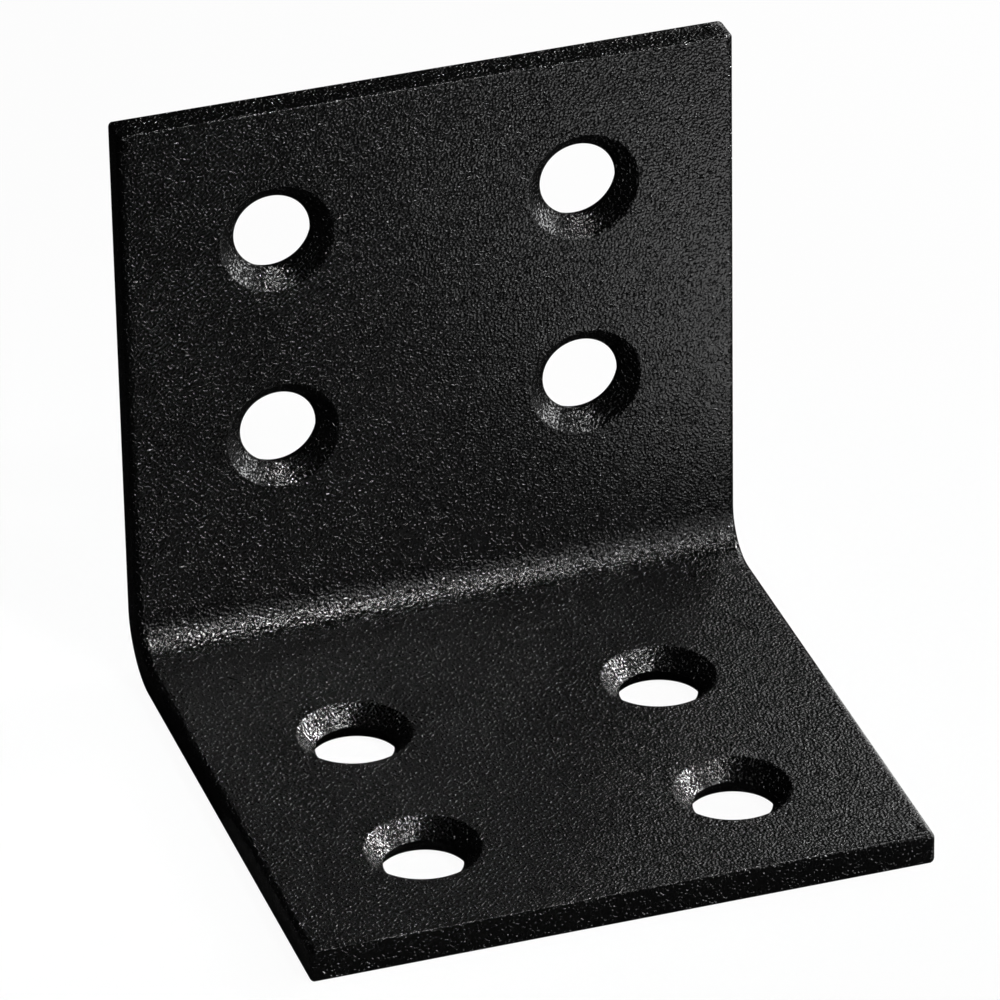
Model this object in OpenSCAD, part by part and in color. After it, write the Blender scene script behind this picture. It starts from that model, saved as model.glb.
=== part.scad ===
// Corner brace bracket. Flat steel strip is cropped to length, punched and countersunk,
// then folded once to a right angle and powder coated, so the whole bracket is one solid.
// Millimetres. X runs along the fold, the lying leg rests on z = 0 and reaches forwards (-Y),
// the standing leg rises at the back (+Y). The origin is the middle of the footprint.

/* [Strip] */
// Finished thickness: 2 mm steel with its coat on both faces
sheet_t = 2.2; // [1.8:0.1:3]
// Width of the strip, measured along the fold
body_w = 40; // [36:1:60]
// Outside length of the lying leg, from the heel to its free end
base_l = 39; // [36:1:60]
// Outside height of the standing leg, from the heel to its free end
upright_h = 39; // [36:1:60]

/* [Fold] */
// Radius in the inside corner of the fold
fold_in_r = 2.8; // [1:0.1:4]
// Radius round the heel, pressed a little squarer than the sheet would fold by itself
fold_out_r = 4.2; // [2:0.1:6]

/* [Edges] */
// Corner radius of both free ends on the side that the cropping die rounds a little
corner_r = 0.4; // [0.2:0.1:3]
// Corner radius of both free ends on the side that is left nearly square
square_corner_r = 0.3; // [0.2:0.1:3]
// Rolled edge along both sides of the strip, on the face that the screw heads enter
edge_in_r = 0.5; // [0.2:0.1:0.8]
// Rolled edge along both sides of the strip, on the face that lies on the timber
edge_out_r = 0.3; // [0.1:0.1:0.8]

/* [Screw holes] */
// Rows of holes along each leg
hole_rows = 2; // [1:1:2]
// Distance between the holes of a row, across the strip
hole_pitch_x = 20; // [16:0.5:24]
// Distance between the rows, along a leg
hole_pitch_l = 14; // [10:0.5:16]
// Distance from a free end to the first row
hole_end = 9; // [6:0.5:11]
// Clear diameter for the screw
bore_d = 4.9; // [3.5:0.1:5.5]
// Diameter of the countersink at the face
sink_d = 7.3; // [6:0.1:7.5]
// Full angle of the countersink
sink_angle = 90; // [80:1:100]
// Roll of the sheet round the bore on the face that lies on the timber
bore_exit_r = 0.5; // [0.2:0.1:0.6]

/* [Hidden] */
$fn = 72;

coat_colour = [0.10, 0.10, 0.105];
half_w = body_w / 2;
heel_y = base_l / 2;
bore_r = bore_d / 2;
sink_slope = tan(sink_angle / 2);
sink_h = (sink_d / 2 - bore_r) / sink_slope;
// Overrun of every cutter past the face it leaves through
over = 1;

// Places children drawn on a flat leg: x across the strip, y from the heel, z up from the back face
module on_lying_leg() translate([0, heel_y, 0]) mirror([0, 1, 0]) children();
module on_standing_leg() translate([0, heel_y, 0]) rotate([90, 0, 0]) children();

// Repeats children on the other side of the strip
module both_sides() {
    children();
    mirror([1, 0, 0]) children();
}

// What a square corner loses when it is rounded; the corner points to +x and +y
module corner_waste(r) translate([-r, -r]) difference() {
    square(r + over);
    circle(r);
}

// Side view of the folded sheet, y to the right and z up
module fold_profile() difference() {
    union() {
        translate([heel_y - base_l, 0]) square([base_l, sheet_t]);
        translate([heel_y - sheet_t, 0]) square([sheet_t, upright_h]);
        translate([heel_y - sheet_t - fold_in_r, sheet_t]) difference() {
            square(fold_in_r);
            translate([0, fold_in_r]) circle(fold_in_r);
        }
    }
    translate([heel_y, 0]) mirror([0, 1]) corner_waste(fold_out_r);
}

// One screw hole: straight bore, countersink from the open face, rolled exit at the back
module screw_hole() {
    translate([0, 0, -over]) cylinder(h = sheet_t + 2 * over, r = bore_r);
    translate([0, 0, sheet_t - sink_h])
        cylinder(h = sink_h + over, r1 = bore_r, r2 = bore_r + (sink_h + over) * sink_slope);
    rotate_extrude() difference() {
        translate([0, -over]) square([bore_r + bore_exit_r, bore_exit_r + over]);
        translate([bore_r + bore_exit_r, bore_exit_r]) circle(bore_exit_r);
    }
}

// Waste of one flat leg of the given outside length: its screw holes and its two end corners
module leg_waste(leg_l) {
    for (row = [0 : hole_rows - 1])
        both_sides() translate([hole_pitch_x / 2, leg_l - hole_end - row * hole_pitch_l, 0]) screw_hole();
    translate([0, 0, -over]) linear_extrude(sheet_t + 2 * over) {
        translate([half_w, leg_l]) corner_waste(corner_r);
        translate([-half_w, leg_l]) mirror([1, 0]) corner_waste(square_corner_r);
    }
}

// Waste of the rolled edges along one flat leg, from the end of the fold to past the free end
module leg_edge_waste(leg_l) both_sides() {
    inner_start = sheet_t + fold_in_r;
    translate([half_w, leg_l + over, sheet_t]) rotate([90, 0, 0])
        linear_extrude(leg_l + over - inner_start) corner_waste(edge_in_r);
    translate([half_w, leg_l + over, 0]) rotate([90, 0, 0])
        linear_extrude(leg_l + over - fold_out_r) mirror([0, 1]) corner_waste(edge_out_r);
}

// The same rolled edges carried round the quarter turn of the fold
module fold_edge_waste() both_sides() {
    translate([0, heel_y - sheet_t - fold_in_r, sheet_t + fold_in_r]) rotate([0, 90, 0])
        rotate_extrude(angle = 90) translate([fold_in_r, half_w]) mirror([1, 0]) corner_waste(edge_in_r);
    translate([0, heel_y - fold_out_r, fold_out_r]) rotate([0, 90, 0])
        rotate_extrude(angle = 90) translate([fold_out_r, half_w]) corner_waste(edge_out_r);
}

module bracket() color(coat_colour) difference() {
    translate([-half_w, 0, 0]) rotate([90, 0, 90]) linear_extrude(body_w) fold_profile();
    on_lying_leg() leg_waste(base_l);
    on_standing_leg() leg_waste(upright_h);
    on_lying_leg() leg_edge_waste(base_l);
    on_standing_leg() leg_edge_waste(upright_h);
    fold_edge_waste();
}

bracket();
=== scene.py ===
import math

import bpy
import bmesh
import numpy as np
from mathutils import Euler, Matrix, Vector


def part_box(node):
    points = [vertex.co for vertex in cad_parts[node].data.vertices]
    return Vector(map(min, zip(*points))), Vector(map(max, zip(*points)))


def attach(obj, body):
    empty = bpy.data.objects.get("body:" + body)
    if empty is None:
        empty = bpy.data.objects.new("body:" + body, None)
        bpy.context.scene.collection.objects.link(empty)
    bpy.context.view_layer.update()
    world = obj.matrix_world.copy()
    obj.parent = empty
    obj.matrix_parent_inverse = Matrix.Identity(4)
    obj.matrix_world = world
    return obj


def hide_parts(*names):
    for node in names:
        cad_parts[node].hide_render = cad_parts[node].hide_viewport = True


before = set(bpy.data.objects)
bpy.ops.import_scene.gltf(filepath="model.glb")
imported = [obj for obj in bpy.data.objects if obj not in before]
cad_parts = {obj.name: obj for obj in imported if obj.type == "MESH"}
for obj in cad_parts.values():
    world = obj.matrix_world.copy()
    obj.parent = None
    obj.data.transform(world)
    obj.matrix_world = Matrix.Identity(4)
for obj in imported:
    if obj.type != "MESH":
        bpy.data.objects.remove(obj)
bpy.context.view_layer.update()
scene = bpy.context.scene
scene.view_settings.view_transform = "Standard"

# The folded sheet
# The bracket is one length of steel strip, 2 mm thick, that is cropped to length, punched and countersunk,
# folded once to a right angle, and powder coated last, so that the coat rounds every edge a little.
# Nothing is fixed to it.

# The strip is worked out flat, in millimetres, and then folded: u runs across it, s along it from the free
# end of the lying leg, and w down through it from the face that the screw heads enter
MM = 0.001
box_low, box_high = (np.array(corner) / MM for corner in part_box("bracket"))
half_w = box_high[0]
heel_y = box_high[1]
base_l = box_high[1] - box_low[1]
upright_h = box_high[2] - box_low[2]

sheet_t = 2.2            # with the coat on both faces
fold_in_r = 2.8
fold_out_r = 4.2
neutral_share = 0.4      # how deep in the sheet the layer lies that folding doesn't stretch
corner_r = 0.4           # plan corner on the right of each free end
square_corner_r = 0.3    # plan corner on the left
edge_in_r = 0.5          # rolled long edges, screw-head face
edge_out_r = 0.3         # rolled long edges, timber face
crop_edge_r = 0.13       # cropped ends: only the coat rounds them
hole_x = 10.0
hole_pitch_l = 14.0
hole_end = 9.0
bore_r = 2.47
sink_r = 3.65
rim_roll_r = 0.18        # the coat rounds the countersink's rim only a little
breakout = 0.2           # the punch tears the bore wider towards the timber face
throat_roll_r = 0.14     # where the countersink meets the bore
bore_exit_r = 0.55

inner_start = sheet_t + fold_in_r
lying_l = base_l - inner_start
standing_l = upright_h - inner_start
fold_l = math.pi / 2 * (fold_in_r + neutral_share * sheet_t)
strip_l = lying_l + fold_l + standing_l


def fold_strip(u, s, w):
    """Where a point of the flat strip is once it is folded. On the lying leg s runs backwards and w down, and
    on the standing leg s runs up and w back. In the fold s is an angle round the inside corner's centre, and
    w runs from the inside arc to the outside: the arc round the heel, and the flat backs beside it."""
    u, s, w = np.broadcast_arrays(u, s, w)
    centre_y, centre_z = heel_y - inner_start, inner_start
    angle = np.clip((s - lying_l) / fold_l, 0, 1) * math.pi / 2
    out_y, out_z = np.sin(angle), -np.cos(angle)
    shift = fold_in_r + sheet_t - fold_out_r
    along = shift * (out_y - out_z)
    arc = along + np.sqrt(along**2 - 2 * shift**2 + fold_out_r**2)
    flats = inner_start / np.maximum(np.maximum(out_y, -out_z), 1e-9)
    tangent = math.atan2(shift, inner_start)
    outside = np.where((angle > tangent) & (angle < math.pi / 2 - tangent), arc, flats)
    reach = fold_in_r + (outside - fold_in_r) * w / sheet_t
    y = centre_y + out_y * reach + np.minimum(s - lying_l, 0)
    z = centre_z + out_z * reach + np.maximum(s - lying_l - fold_l, 0)
    return np.stack([u, y, z], -1)


def rolled_edge(reach, depth, radius, turn):
    """A rolled edge as distance from the cut and depth under the face: the roll's centre, moved by the radius
    times minus the sine and minus the cosine of each angle turned. 0 faces up from the screw-head face, pi
    faces down."""
    return reach - radius * np.sin(turn), depth - radius * np.cos(turn)


def lines(*stops):
    """Grid lines between stops given as (place, number of cells up to the next stop)."""
    runs = [np.linspace(a, b, n, endpoint=False) for (a, n), (b, _) in zip(stops[:-1], stops[1:])]
    return np.concatenate([*runs, [stops[-1][0]]])


sheet = {"point": [], "texture": [], "faces": [], "count": 0}


def lay(u, s, w, texture, faces):
    """Adds folded points and the faces between them; texture is how full the coat's relief is there."""
    point = fold_strip(u, s, w).reshape(-1, 3)
    sheet["point"].append(point)
    sheet["texture"].append(np.broadcast_to(texture, np.shape(u)).ravel())
    sheet["faces"] += (np.asarray(faces) + sheet["count"]).tolist()
    sheet["count"] += len(point)


def grid_faces(rows, columns, closed=False):
    """The quads between neighbouring points of a grid; a closed one joins its last column to its first."""
    number = np.arange(rows * columns).reshape(rows, columns)
    beside = np.roll(number, -1, 1) if closed else number[:, 1:]
    here = number if closed else number[:, :-1]
    return np.stack([here[:-1], beside[:-1], beside[1:], here[1:]], -1).reshape(-1, 4)


# The two flat-and-fold faces, as one grid each, with a square left open round every screw hole
band = 1.2               # width of the strip along each edge that the edge bands fill
tile = 5.0               # half side of the square round a hole
inset_u = half_w - band
hole_rows = [hole_end, hole_end + hole_pitch_l]
hole_places = [(x, s) for x in (-hole_x, hole_x) for row in hole_rows for s in (row, strip_l - row)]
across = lines((-inset_u, 8), (-hole_x - tile, 20), (tile - hole_x, 20), (hole_x - tile, 20),
               (hole_x + tile, 8), (inset_u, 0))
leg_stops = [(band, 6), (hole_rows[0] - tile, 20), (hole_rows[0] + tile, 8), (hole_rows[1] - tile, 20),
             (hole_rows[1] + tile, 12), (lying_l, 0)]
fold_tangent = math.atan2(fold_in_r + sheet_t - fold_out_r, inner_start) / (math.pi / 2) * fold_l
lower = lines(*leg_stops)
fold_end = lying_l + fold_l
turn = lines((lying_l, 3), (lying_l + fold_tangent, 20), (fold_end - fold_tangent, 3), (fold_end, 0))
along = np.concatenate([lower, turn[1:], strip_l - lower[::-1][1:]])
face_u, face_s = np.meshgrid(across, along)
cells = grid_faces(*face_u.shape)
cell_u, cell_s = face_u.ravel()[cells].mean(1), face_s.ravel()[cells].mean(1)
in_hole = np.zeros(len(cells), bool)
for x, s in hole_places:
    in_hole |= (abs(cell_u - x) < tile) & (abs(cell_s - s) < tile)
lay(face_u, face_s, 0.0 * face_u, 1.0, cells[~in_hole])
lay(face_u, face_s, 0.0 * face_u + sheet_t, 1.0, cells[~in_hole])

# The screw holes: rings that run from the square over the soft rim, down the 90 degree countersink, through
# the torn bore, round its rolled exit and out to the square on the timber face
side = np.linspace(-tile, tile, 21)[:-1]
square_u = np.concatenate([side, 0 * side + tile, -side, 0 * side - tile])
square_s = np.concatenate([0 * side - tile, side, 0 * side + tile, -side])
around = np.arctan2(square_s, square_u)
rim_tangent = rim_roll_r * math.tan(math.pi / 8)
throat_tangent = throat_roll_r * math.tan(math.pi / 8)
sink_h = sink_r - bore_r
face_share = np.array([1, 0.72, 0.45, 0.22, 0.06])
rim = rolled_edge(sink_r + rim_tangent, rim_roll_r, rim_roll_r, np.linspace(0, math.pi / 4, 6))
cone_top, cone_end = rim[1][-1], sink_h - throat_roll_r * (1 - math.cos(math.pi / 4))
cone_w = np.linspace(cone_top, cone_end, 8)[1:-1]
throat = rolled_edge(bore_r + throat_roll_r, sink_h + throat_tangent, throat_roll_r,
                     np.linspace(math.pi / 4, math.pi / 2, 5))
bore_w = np.linspace(throat[1][-1], sheet_t - bore_exit_r, 5)[1:-1]
torn_r = bore_r + breakout * np.linspace(0, 1, 5)[1:-1]
exit_roll = rolled_edge(bore_r + breakout + bore_exit_r, sheet_t - bore_exit_r, bore_exit_r,
                        np.linspace(math.pi / 2, math.pi, 7))
ring_r = np.concatenate([0 * face_share + rim[0][0], rim[0], sink_r - cone_w, throat[0], torn_r,
                         exit_roll[0], 0 * face_share + exit_roll[0][-1]])
ring_w = np.concatenate([0 * face_share, rim[1], cone_w, throat[1], bore_w, exit_roll[1],
                         0 * face_share + sheet_t])
ring_share = np.concatenate([face_share, np.zeros(len(ring_r) - 2 * len(face_share)), face_share[::-1]])
bore_texture = 0.5       # the powder lies thinner in the bore
fade_in, fade_out = 0.25, 0.2
ring_texture = np.clip((sink_h - ring_w) / fade_in, bore_texture, 1)
ring_texture = ring_texture + np.clip((ring_w - sheet_t + fade_out) / fade_out, 0, 1)
for x, s in hole_places:
    round_u = ring_r[:, None] * np.cos(around) * (1 - ring_share[:, None]) + square_u * ring_share[:, None]
    round_s = ring_r[:, None] * np.sin(around) * (1 - ring_share[:, None]) + square_s * ring_share[:, None]
    lay(x + round_u, s + round_s, ring_w[:, None] + 0 * round_u, ring_texture[:, None] + 0 * round_u,
        grid_faces(*round_u.shape, closed=True))

# The edges: one profile carried round the strip's outline. The long edges are rolled, and the cropped ends
# keep a thin uneven burr on the screw-head face, which the coat covers
corner_steps = 10
end_u = np.linspace(across[:-1], across[1:], 4, endpoint=False, axis=1).ravel()
end_u = np.append(end_u, across[-1])
side_s = np.linspace(along[:-1], along[1:], 2, endpoint=False, axis=1).ravel()
side_s = np.append(side_s, along[-1])
quarter = np.linspace(0, math.pi / 2, corner_steps + 2)[1:-1]
outline = [
    ("end", end_u, -1), ("corner", math.pi / 2 - quarter, (1, -1)),
    ("side", side_s, 1), ("corner", quarter, (1, 1)),
    ("end", end_u[::-1], 1), ("corner", math.pi / 2 - quarter, (-1, 1)),
    ("side", side_s[::-1], -1), ("corner", quarter, (-1, -1)),
]


def outline_at(inset):
    """The strip's outline moved in by inset at each of its points: straight runs move square to themselves,
    and a corner keeps its centre while its radius shrinks to nothing, and then moves in along the diagonal."""
    middle_s, half_l = strip_l / 2, strip_l / 2
    u, s, start = [], [], 0
    for kind, value, sign in outline:
        d = inset[..., start:start + len(value)]
        start += len(value)
        if kind == "end":
            u.append(value + 0 * d)
            s.append(middle_s + sign * (half_l - d))
        elif kind == "side":
            u.append(sign * (half_w - d))
            s.append(value + 0 * d)
        else:
            radius = corner_r if sign[0] > 0 else square_corner_r
            back, left = np.maximum(radius, d), np.maximum(radius - d, 0)
            u.append(sign[0] * (half_w - back + left * np.cos(value)))
            s.append(middle_s + sign[1] * (half_l - back + left * np.sin(value)))
    return np.concatenate(u, -1), np.concatenate(s, -1)


def smooth_noise(count, cell, seed):
    """Seeded values from -1 to 1, one every cell points, joined by cosine steps."""
    knots = np.random.default_rng(seed).uniform(-1, 1, count // cell + 3)
    place = np.arange(count) / cell
    low = place.astype(int)
    share = (1 - np.cos(math.pi * (place - low))) / 2
    return knots[low] * (1 - share) + knots[low + 1] * share


# 1 on the cropped ends, 0 on the long sides, turning smoothly through the corners
is_end = np.concatenate([
    np.ones(len(v)) if kind == "end" else np.zeros(len(v)) if kind == "side" else np.sin(v) ** 2
    for kind, v, _ in outline])
total = len(is_end)
coarse_wear, fine_wear = smooth_noise(total, 14, 3), smooth_noise(total, 3, 5)
# The crop starts sharp on the left and drags the edge round towards the right
dragged = np.clip(outline_at(0 * is_end)[0] / half_w, 0, 1)
burr = is_end * (1 - 0.7 * dragged) * np.clip(0.5 + 0.7 * coarse_wear + 0.5 * fine_wear, 0, 1.3)
burr_h, burr_width = 0.05, 0.22
drag_r = 0.14            # what the drag adds to the edge's radius at the far right
crop_in_r = crop_edge_r * (1 + 0.45 * fine_wear) + drag_r * dragged
crop_out_r = crop_edge_r * 1.6
in_r = edge_in_r + (crop_in_r - edge_in_r) * is_end
out_r = edge_out_r + (crop_out_r - edge_out_r) * is_end
in_arc = rolled_edge(in_r, in_r, in_r, np.linspace(0, math.pi / 2, 8)[:, None])
out_arc = rolled_edge(out_r, sheet_t - out_r, out_r, np.linspace(math.pi / 2, math.pi, 7)[:, None])
wall = np.array([0.04, 0.2, 0.4, 0.6, 0.8, 0.96])[:, None]
flat = np.array([band * 0.8, 0, 0])[:, None] + 0 * in_r
flat[1], flat[2] = in_r + 0.2, in_r + 0.05
under = np.array([0, 0, band * 0.8])[:, None] + 0 * out_r
under[0], under[1] = out_r + 0.05, out_r + 0.2
edge_d = np.concatenate([flat, in_arc[0], 0 * wall + 0 * in_r, out_arc[0], under])
edge_w = np.concatenate([0 * flat, in_arc[1], in_r + (sheet_t - in_r - out_r) * wall, out_arc[1],
                         0 * under + sheet_t])
# The burr stands on the screw-head face right at the cut; under it, from about a third of the way down, the
# cropped face is torn in a little
burr_reach, torn_top, torn_in = 0.3, 0.75, 0.045
edge_w = edge_w - burr * burr_h * np.exp(-(edge_d / burr_width) ** 2) * np.clip(1 - edge_w / burr_reach, 0, 1)
torn = np.clip((edge_w - torn_top) / 0.25, 0, 1) * np.clip((sheet_t - 0.1 - edge_w) / 0.3, 0, 1)
edge_d = edge_d + is_end * torn * (torn_in + 0.02 * fine_wear)
# The relief is a little shallower on the side faces, and shallower still on the cropped ends
wall_texture = 0.8 - 0.2 * is_end
edge_texture = np.clip(1 - (edge_w - 0.25 * in_r) / (0.6 * in_r), wall_texture, 1)
edge_texture = edge_texture + np.clip((edge_w - sheet_t + 0.6 * out_r) / (0.4 * out_r), 0, 1)
edge_u, edge_s = outline_at(edge_d)
lay(edge_u, edge_s, edge_w, edge_texture, grid_faces(*edge_u.shape, closed=True))

# Each fine step of the bands is sewn to the nearest point of the face grid's border
border_u = np.concatenate([across, 0 * along + inset_u, across[::-1], 0 * along - inset_u])
border_s = np.concatenate([0 * across + band, along, 0 * across + strip_l - band, along[::-1]])
ring_u, ring_s = outline_at(0 * is_end + band)
next_u, next_s = np.roll(ring_u, -1), np.roll(ring_s, -1)
distance = np.hypot((ring_u + next_u)[:, None] / 2 - border_u, (ring_s + next_s)[:, None] / 2 - border_s)
anchor = distance.argmin(1)
for row, depth in ((0, 0.0), (-1, sheet_t)):
    here = np.arange(total)
    after = np.roll(here, -1)
    knot = total + anchor
    next_knot = np.roll(knot, -1)
    stitches = np.concatenate([np.stack([knot, here, after], -1), np.stack([knot, after, next_knot], -1)])
    band_u = np.append(edge_u[row], border_u)
    band_s = np.append(edge_s[row], border_s)
    lay(band_u, band_s, np.append(edge_w[row], 0 * border_u + depth), 0 * band_u + 1.0, stitches)

points = np.concatenate(sheet["point"]) * MM
mesh = bpy.data.meshes.new("bracket_sheet")
mesh.from_pydata(points.tolist(), [], sheet["faces"])
texture = mesh.attributes.new("relief", "FLOAT", "POINT")
texture.data.foreach_set("value", np.clip(np.concatenate(sheet["texture"]), 0, 1).astype(np.float32))
work = bmesh.new()
work.from_mesh(mesh)
same_place, too_short = 0.0015 * MM, 0.003 * MM
bmesh.ops.remove_doubles(work, verts=work.verts, dist=same_place)
bmesh.ops.dissolve_degenerate(work, edges=work.edges, dist=too_short)
bmesh.ops.delete(work, geom=[v for v in work.verts if not v.link_faces], context="VERTS")
bmesh.ops.recalc_face_normals(work, faces=work.faces)
work.to_mesh(mesh)
work.free()
mesh.shade_smooth()
bracket = bpy.data.objects.new("bracket_sheet", mesh)
scene.collection.objects.link(bracket)
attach(bracket, "root")
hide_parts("bracket")


# The coat
# Black polyester powder, sprayed and baked, with a fine texture: low hills and steeper grains, each about a
# sixth of a millimetre apart. The hills draw short soft lines where a lamp rakes the face, and the grains
# glint singly. Cut faces and bore walls are a little smoother, because the powder lies thinner there.
def linear(hex_colour):
    """An sRGB hex colour as linear red, green, blue and full alpha."""
    values = [int(hex_colour[i:i + 2], 16) / 255 for i in (1, 3, 5)]
    return [v / 12.92 if v <= 0.04045 else ((v + 0.055) / 1.055) ** 2.4 for v in values] + [1.0]


def add_node(tree, kind, settings=None, inputs=None):
    """A node of this kind with its settings; each input takes a number, a colour or another node's output."""
    node = tree.nodes.new(kind)
    for name, value in (settings or {}).items():
        setattr(node, name, value)
    for name, value in (inputs or {}).items():
        if isinstance(value, bpy.types.NodeSocket):
            tree.links.new(value, node.inputs[name])
        else:
            node.inputs[name].default_value = value
    return node


hill_mm = 0.16
hill_depth_mm = 0.055
grain_mm = 0.17
grain_share = 0.58       # only the part of the noise above this stands up as a grain
grain_depth_mm = 0.42
coat = bpy.data.materials.new("black fine-texture powder coat on steel")
coat.use_nodes = True
tree = coat.node_tree
tree.nodes.clear()
place = add_node(tree, "ShaderNodeTexCoord").outputs["Object"]
fullness = add_node(tree, "ShaderNodeAttribute", {"attribute_name": "relief"}).outputs["Fac"]
hills = add_node(tree, "ShaderNodeTexNoise", None,
                 {"Vector": place, "Scale": 1 / (hill_mm * MM), "Detail": 0.0}).outputs["Fac"]
hill_height = add_node(tree, "ShaderNodeMath", {"operation": "MULTIPLY"},
                       {0: hills, 1: hill_depth_mm}).outputs[0]
grains = add_node(tree, "ShaderNodeTexNoise", None,
                  {"Vector": place, "Scale": 1 / (grain_mm * MM), "Detail": 0.0}).outputs["Fac"]
grain_height = add_node(tree, "ShaderNodeMapRange", None,
                        {"Value": grains, "From Min": grain_share, "From Max": 1.0,
                         "To Max": (1 - grain_share) * grain_depth_mm}).outputs["Result"]
height = add_node(tree, "ShaderNodeMath", {"operation": "ADD"}, {0: hill_height, 1: grain_height}).outputs[0]
relief = add_node(tree, "ShaderNodeMath", {"operation": "MULTIPLY"}, {0: height, 1: fullness}).outputs[0]
bump = add_node(tree, "ShaderNodeBump", None,
                {"Height": relief, "Distance": MM, "Strength": 1.0}).outputs["Normal"]
shader = add_node(tree, "ShaderNodeBsdfPrincipled", None,
                  {"Base Color": linear("#030303"), "Roughness": 0.22, "IOR": 1.5, "Normal": bump})
add_node(tree, "ShaderNodeOutputMaterial", None, {"Surface": shader.outputs[0]})
mesh.materials.append(coat)


# The floor
# A plain white table top. The camera and reflections see it as nearly the same white as the background, and
# the rest of it is matt, so it keeps a faint shadow under the bracket.
def seen_directly(tree):
    """1 where a ray from the camera, a glossy or a transmission ray arrives, and 0 for the rest."""
    rays = add_node(tree, "ShaderNodeLightPath").outputs
    seen = add_node(tree, "ShaderNodeMath", {"operation": "ADD", "use_clamp": True},
                    {0: rays["Is Camera Ray"], 1: rays["Is Glossy Ray"]}).outputs[0]
    return add_node(tree, "ShaderNodeMath", {"operation": "ADD", "use_clamp": True},
                    {0: seen, 1: rays["Is Transmission Ray"]}).outputs[0]


def square_at(half, z):
    """The corners of a level square round the middle, in metres."""
    return [(-half, -half, z), (half, -half, z), (half, half, z), (-half, half, z)]


floor_half, floor_z = 3.0, -0.0001
floor_mesh = bpy.data.meshes.new("floor")
floor_mesh.from_pydata(square_at(floor_half, floor_z), [], [(0, 1, 2, 3)])
table_top = bpy.data.materials.new("plain white table top")
table_top.use_nodes = True
tree = table_top.node_tree
tree.nodes.clear()
white_share = 0.95
share = add_node(tree, "ShaderNodeMath", {"operation": "MULTIPLY"},
                 {0: seen_directly(tree), 1: white_share}).outputs[0]
matt = add_node(tree, "ShaderNodeBsdfDiffuse", None, {"Color": linear("#f2f2f2")}).outputs[0]
white = add_node(tree, "ShaderNodeEmission", None, {"Color": linear("#ffffff"), "Strength": 1.0}).outputs[0]
mixed = add_node(tree, "ShaderNodeMixShader", None, {0: share, 1: matt, 2: white}).outputs[0]
add_node(tree, "ShaderNodeOutputMaterial", None, {"Surface": mixed})
floor_mesh.materials.append(table_top)
floor = bpy.data.objects.new("floor", floor_mesh)
scene.collection.objects.link(floor)


# The room
# The air round the table. It is a white background wherever the camera, a reflection or glass looks past the
# table, and for everything else the light of a dim room.
room = bpy.data.worlds.new("room")
scene.world = room
room.use_nodes = True
tree = room.node_tree
tree.nodes.clear()
room_light = 0.3
backdrop = add_node(tree, "ShaderNodeMapRange", None,
                    {"Value": seen_directly(tree), "To Min": room_light, "To Max": 1.0}).outputs["Result"]
air = add_node(tree, "ShaderNodeBackground", None,
               {"Color": linear("#ffffff"), "Strength": backdrop}).outputs[0]
add_node(tree, "ShaderNodeOutputWorld", None, {"Surface": air})


# The painted dark reflections
# A dark grey mat lies on the table and a black tent hangs round it, and only reflections meet them: the
# camera and the lamps don't. They are painted dark reflections that keep the white table and room out of the
# gloss.
def painted_dark_reflection(name, colour, points, faces):
    """A matt sheet that only shows in reflections, as a painted dark reflection."""
    dark_reflection_mesh = bpy.data.meshes.new(name)
    dark_reflection_mesh.from_pydata(points, [], faces)
    dark_reflection_material = bpy.data.materials.new(name)
    dark_reflection_material.use_nodes = True
    tree = dark_reflection_material.node_tree
    tree.nodes.clear()
    dark_reflection_surface = add_node(tree, "ShaderNodeBsdfDiffuse", None, {"Color": linear(colour)}).outputs[0]
    add_node(tree, "ShaderNodeOutputMaterial", None, {"Surface": dark_reflection_surface})
    dark_reflection_mesh.materials.append(dark_reflection_material)
    dark_reflection_sheet = bpy.data.objects.new(name, dark_reflection_mesh)
    dark_reflection_sheet.visible_camera = False
    dark_reflection_sheet.visible_diffuse = False
    dark_reflection_sheet.visible_shadow = False
    scene.collection.objects.link(dark_reflection_sheet)


# Painted dark reflections: a dark grey mat under the bracket and a black tent, seen only in the coat's gloss
mat_half_x, mat_front_y, mat_z = 0.08, -0.09, -0.00005
painted_dark_reflection("charcoal mat, painted dark reflection", "#3a3a3a",
      [(-mat_half_x, mat_front_y, mat_z), (mat_half_x, mat_front_y, mat_z),
       (mat_half_x, 0.0, mat_z), (-mat_half_x, 0.0, mat_z)], [(0, 1, 2, 3)])
tent_half, tent_low, tent_high = 1.2, -0.00008, 1.6
painted_dark_reflection("black tent, painted dark reflection", "#1a1a1a", square_at(tent_half, tent_low) + square_at(tent_half, tent_high),
      [(0, 1, 2, 3), (0, 4, 5, 1), (1, 5, 6, 2), (2, 6, 7, 3), (3, 7, 4, 0), (4, 7, 6, 5)])


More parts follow.
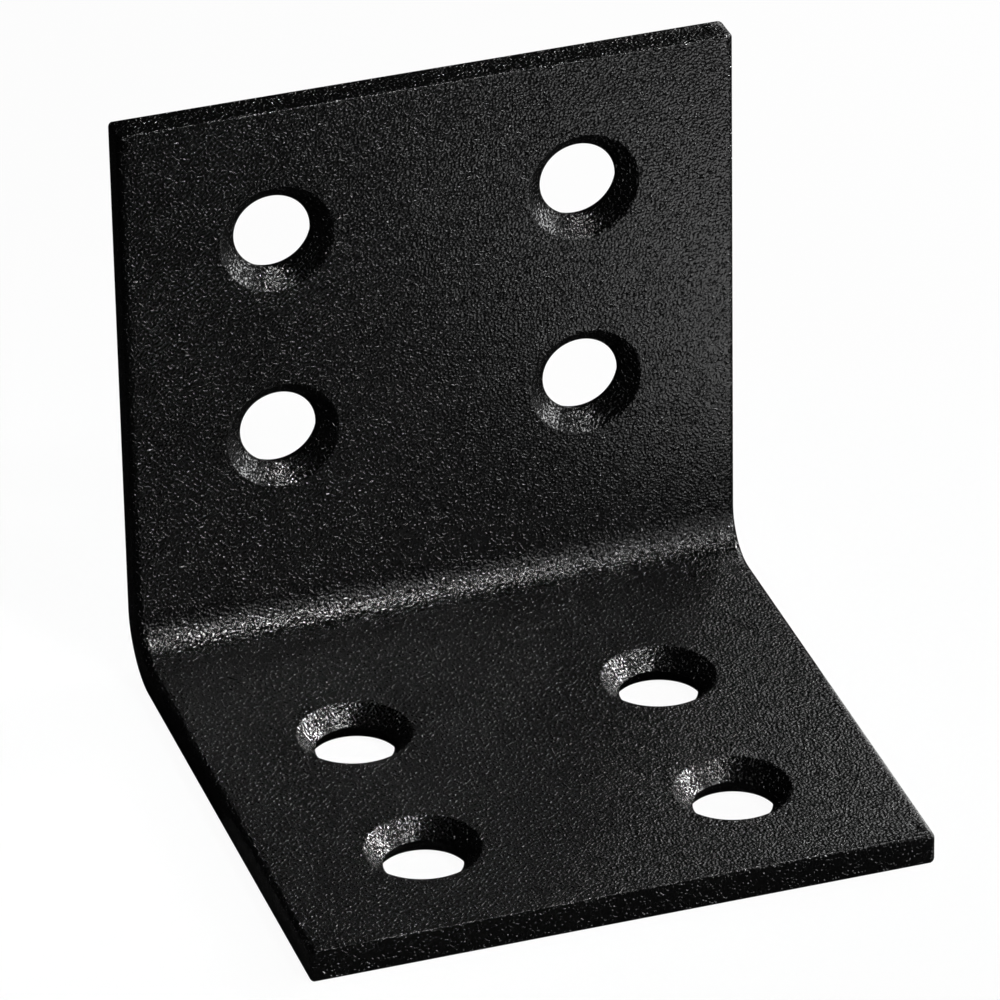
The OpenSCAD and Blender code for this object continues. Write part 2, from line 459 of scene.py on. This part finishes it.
# The lamps
# A large softbox low on the right rakes across the coat, and a close one behind greys the lying leg's right.
# A strip in front and a gridded lamp draw the fold's highlight, another lights the countersinks on the left,
# and a lit white card lies on the table at the right.
def softbox(name, direction, distance, size, radiance, aim=(0, 0, 12), grid=180):
    """A rectangular soft lamp. It looks at the aim point, in mm, from this azimuth (0 in front, positive to
    the right) and elevation, in degrees, and from this distance in metres. Radiance is how bright its face
    is without a grid, where 1 is white. A grid narrows the angle that it lights to this many degrees."""
    light = bpy.data.lights.new(name, "AREA")
    light.shape = "RECTANGLE"
    light.size, light.size_y = size
    light.spread = math.radians(grid)
    light.energy = radiance * math.pi * size[0] * size[1]
    lamp = bpy.data.objects.new(name, light)
    a, e = (math.radians(angle) for angle in direction)
    middle = Vector(aim) * MM
    towards = Vector((math.sin(a) * math.cos(e), -math.cos(a) * math.cos(e), math.sin(e)))
    lamp.location = middle + distance * towards
    lamp.rotation_euler = (middle - lamp.location).to_track_quat("-Z", "Y").to_euler()
    lamp.visible_camera = False
    scene.collection.objects.link(lamp)
    return lamp


softbox("low right softbox", (75, 11), 0.7, (0.35, 0.25), 13.0)
softbox("back softbox", (129, 30), 0.15, (0.085, 0.085), 2.4)
softbox("front strip light", (28, 32), 0.15, (0.05, 0.10), 3.4)
softbox("gridded fold lamp", (27, 52), 0.3, (0.06, 0.06), 0.66, aim=(-22, 14, 4), grid=11)
softbox("gridded hole lamp", (99, 27), 0.3, (0.06, 0.06), 1.0, aim=(-20, 0, 10), grid=10)
card = softbox("table card", (68, 0), 0.05, (0.05, 0.045), 2.0)
card.location.z = 0.001
card.rotation_euler = Euler((math.pi, 0, 0))


# The camera
# A long lens a little over half a metre away, at the photograph's viewing angle. It is turned one degree
# about its own axis, as the photograph is.
camera_at = Vector((-0.148002, -0.460343, 0.302903))
looks_at = Vector((-0.000698, 0.002021, 0.017919))
lens_mm = 329.64
roll_deg = -1.0169
camera = bpy.data.objects.new("camera", bpy.data.cameras.new("camera"))
camera.data.sensor_fit = "HORIZONTAL"
camera.data.sensor_width = 36.0
camera.data.lens = lens_mm
camera.data.clip_start, camera.data.clip_end = 0.01, 100.0
camera.location = camera_at
facing = (looks_at - camera_at).to_track_quat("-Z", "Y")
camera.rotation_euler = (facing @ Euler((0, 0, math.radians(roll_deg))).to_quaternion()).to_euler()
scene.collection.objects.link(camera)
scene.camera = camera
